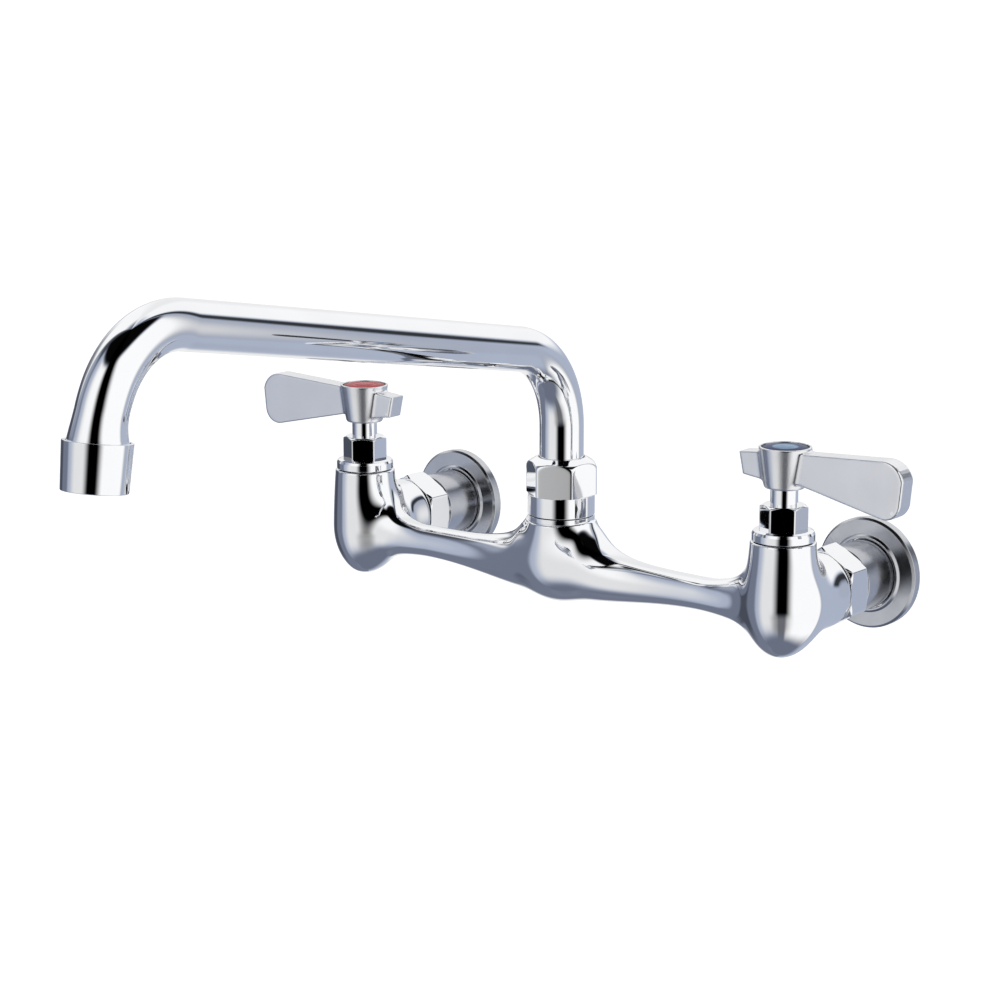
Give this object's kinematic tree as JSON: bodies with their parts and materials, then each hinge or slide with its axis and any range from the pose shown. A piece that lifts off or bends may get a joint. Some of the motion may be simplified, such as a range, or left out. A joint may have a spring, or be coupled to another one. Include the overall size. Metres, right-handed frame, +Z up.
{
  "type": "wall-mounted mixing faucet",
  "caption": "Wall-mounted chrome mixing faucet: cast body with side valves and lever handles, flanged wall inlets and a long round-tube swing spout.",
  "frame": {"origin": "on the wall plane at hot_wall_face: on the back rim of the hot wall plate, level with the inlet axes and 19.6 mm inboard of the hot inlet axis", "axes": "+X from the hot inlet to the cold inlet, +Y into the wall, +Z up"},
  "size_m": [0.3049, 0.3222, 0.1478],
  "materials": {
    "chrome": "polished chrome plate on brass",
    "satin_chrome": "satin chrome plate",
    "brass": "machined brass",
    "steel": "stainless screw",
    "ceramic": "ground alumina",
    "rubber": "black rubber",
    "nylon": "moulded plastic",
    "hot_index": "glossy red",
    "cold_index": "glossy blue"
  },
  "bodies": {
    "root": {"body_casting": "chrome", "spout_nut": "chrome", "spout_bearing_washer": "nylon", "hot_bonnet": "chrome", "hot_cartridge_sleeve": "brass", "hot_fixed_disc": "ceramic", "hot_seat_seal": "rubber", "hot_inlet_nut": "chrome", "hot_inlet_washer": "rubber", "hot_inlet_shank": "chrome", "hot_wall_flange": "satin_chrome", "hot_wall_gasket": "rubber", "cold_bonnet": "chrome", "cold_cartridge_sleeve": "brass", "cold_fixed_disc": "ceramic", "cold_seat_seal": "rubber", "cold_inlet_nut": "chrome", "cold_inlet_washer": "rubber", "cold_inlet_shank": "chrome", "cold_wall_flange": "satin_chrome", "cold_wall_gasket": "rubber"},
    "spout": {"spout_tube": "chrome", "spout_ferrule": "brass", "spout_o_ring_upper": "rubber", "spout_o_ring_lower": "rubber", "outlet_housing": "chrome", "outlet_washer": "rubber", "outlet_insert": "nylon"},
    "hot_handle": {"hot_lever": "satin_chrome", "hot_index": "hot_index", "hot_lever_screw": "steel", "hot_stem": "brass", "hot_stem_o_ring": "rubber", "hot_moving_disc": "ceramic"},
    "cold_handle": {"cold_lever": "satin_chrome", "cold_index": "cold_index", "cold_lever_screw": "steel", "cold_stem": "brass", "cold_stem_o_ring": "rubber", "cold_moving_disc": "ceramic"}
  },
  "joints": [
    {"name": "spout_swing", "type": "hinge", "parent": "root", "child": "spout", "pos_m": [0.082, -0.0613, 0.0185], "axis": [0, 0, 1], "range_deg": [-103.4, 96.6]},
    {"name": "hot_turn", "type": "hinge", "parent": "root", "child": "hot_handle", "pos_m": [-0.0196, -0.0613, 0.0365], "axis": [0, 0, 1], "range_deg": [0, 90]},
    {"name": "cold_turn", "type": "hinge", "parent": "root", "child": "cold_handle", "pos_m": [0.1836, -0.0613, 0.0365], "axis": [0, 0, 1], "range_deg": [-90, 0]}
  ]
}
